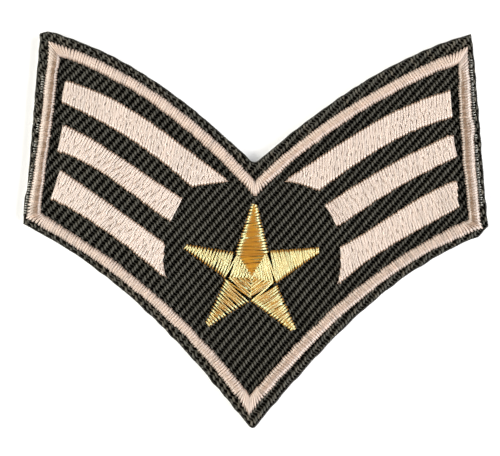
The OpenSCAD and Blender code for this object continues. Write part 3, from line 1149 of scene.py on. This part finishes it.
def slab(grid, bottom, top):
    """A closed sheet over a grid, between two heights."""
    columns, rows = grid.shape[:2]
    flat = grid.reshape(-1, 2)
    points = np.vstack([np.column_stack([flat, np.full(len(flat), z)]) for z in (bottom, top)])
    index = np.arange(len(flat)).reshape(columns, rows)
    cells = [index[:-1, :-1], index[1:, :-1], index[1:, 1:], index[:-1, 1:]]
    upper = np.stack(cells, -1).reshape(-1, 4) + len(flat)
    lower = np.stack([cells[k] for k in (0, 3, 2, 1)], -1).reshape(-1, 4)
    rim = np.concatenate([index[:-1, 0], index[-1, :-1], index[:0:-1, -1], index[0, :0:-1]])
    after = np.roll(rim, -1)
    wall = np.stack([rim, after, after + len(flat), rim + len(flat)], -1)
    return points, np.concatenate([lower, upper, wall])


# Pieces


def sheet_piece(name, bottom, top, material, slot, node):
    """A plain sheet over the whole cut shape."""
    strands = Strands()
    strands.add_form(*slab(cloth_grid, bottom, top), PLAIN_TINT)
    return finish_piece(strands, name, material, slot, node)


def yarn_piece(name, yarns):
    strands, rng = Strands(), draws_for(name)
    for yarn in yarns:
        weave_yarn(strands, rng, yarn)
    return finish_piece(strands, name, "twill yarn", "twill")


def border_piece():
    strands = Strands()
    strands.add_form(*padding("border_satin", BORDER_PAD_DROP), PAD_PAINTED_SHADE_TINT)
    stitch_border(strands, draws_for("border"))
    finish_piece(strands, "border_threads", "border thread", "border_thread", "border_satin")


def bar_piece(number, name, table, angles):
    strands = Strands()
    strands.add_form(*padding(name, BAR_PAD_DROP), PAD_PAINTED_SHADE_TINT)
    stitch_bar(strands, draws_for("bars", number), table, angles)
    finish_piece(strands, name + "_threads", "bar thread", "bar_thread", name)


def arm_piece(number, name, slots, pitch, half_width, padded):
    strands = Strands()
    pad_arm(strands, name, slots, padded)
    stitch_arm(strands, draws_for("arms", number), name, slots, pitch, half_width)
    finish_piece(strands, name + "_threads", "gold thread", "gold_thread", name)


def edge_stitch_piece():
    outer = edges_of(BORDER_OUTSIDE)
    strands = Strands()
    for name, (side, out, runs) in EDGE_STITCHES.items():
        stitch_edge(strands, draws_for(name), Rail(outer[side]), out, runs)
    return finish_piece(strands, "edge_stitches", "edge thread", "twill")


cloth_grid = chevron_grid(*GRID_CELLS)
film_back = sheet_piece("film_back", 0.0, FILM_TOP, "adhesive film", "adhesive_film", "iron_on_film")
# The cloth sheet under the yarns, like the cords, carries the twill's painted shade.
twill_cloth = sheet_piece("twill_cloth", CLOTH_LOW, CLOTH_TOP, "twill depth and painted shade", "twill", "twill_ground")

yarns_left = yarn_piece("twill_yarns_left", range(-YARNS, 0))
yarns_right = yarn_piece("twill_yarns_right", range(0, YARNS + 1))
cords = finish_piece(weave_cords(draws_for("twill_cords")), "twill_cords", "twill depth and painted shade", "twill")

border_piece()
for number, (name, (table, angles)) in enumerate(BARS.items()):
    bar_piece(number, name, table, angles)
for number, (name, stitches) in enumerate(STAR_STITCHES.items()):
    arm_piece(number, name, **stitches)

sealed_edge = finish_piece(seal_edge(draws_for("sealed_edge")), "sealed_edge", "melted edge", "twill")
edge_stitches = edge_stitch_piece()

# Floor, light and camera


def floor():
    """A large sheet of white paper."""
    mesh = bpy.data.meshes.new("floor")
    corners = [(x * FLOOR_HALF, y * FLOOR_HALF, 0) for x, y in ((-1, -1), (1, -1), (1, 1), (-1, 1))]
    mesh.from_pydata(corners, [], [(0, 1, 2, 3)])
    plane = placed("floor", mesh)
    paper = Look("floor paper")
    paper.shade(FLOOR_LOOK)
    plane.data.materials.append(paper.material)


def softbox(name, azimuth, watts, colour):
    """A square softbox that looks at the patch, placed by its direction in degrees."""
    lamp = bpy.data.lights.new(name, "AREA")
    lamp.size = LIGHT_SIZE
    lamp.energy = watts
    lamp.color = colour
    turn, rise = math.radians(azimuth), math.radians(LIGHT_RISE)
    way = Vector((math.cos(turn) * math.cos(rise), math.sin(turn) * math.cos(rise), math.sin(rise)))
    thing = placed(name, lamp)
    thing.location = way * LIGHT_DISTANCE
    thing.rotation_euler = (-way).to_track_quat("-Z", "Y").to_euler()


def studio_world():
    world = bpy.data.worlds.new("studio")
    bpy.context.scene.world = world
    world.use_nodes = True
    background = world.node_tree.nodes["Background"].inputs
    background["Color"].default_value = (*WORLD_COLOUR, 1)
    background["Strength"].default_value = WORLD_STRENGTH


def camera():
    """The photo's view, straight from above, its width matched at the twill's top."""
    lens = bpy.data.cameras.new("camera")
    lens.lens = LENS
    lens.sensor_width = SENSOR
    lens.clip_start, lens.clip_end = CLIP
    centre = (np.array(VIEW_CENTRE) - DRAWN_MIDDLE) * DRAWN_SCALE * MM
    distance = PHOTO_PIXELS_WIDE * PIXEL * DRAWN_SCALE * MM * LENS / SENSOR
    viewer = placed("camera", lens)
    viewer.location = (centre[0], centre[1], distance + TWILL_TOP * MM)
    bpy.context.scene.camera = viewer


floor()
for name, (azimuth, watts, colour) in SOFTBOXES.items():
    softbox(name, azimuth, watts, colour)
studio_world()
camera()
bpy.context.scene.view_settings.view_transform = "Standard"
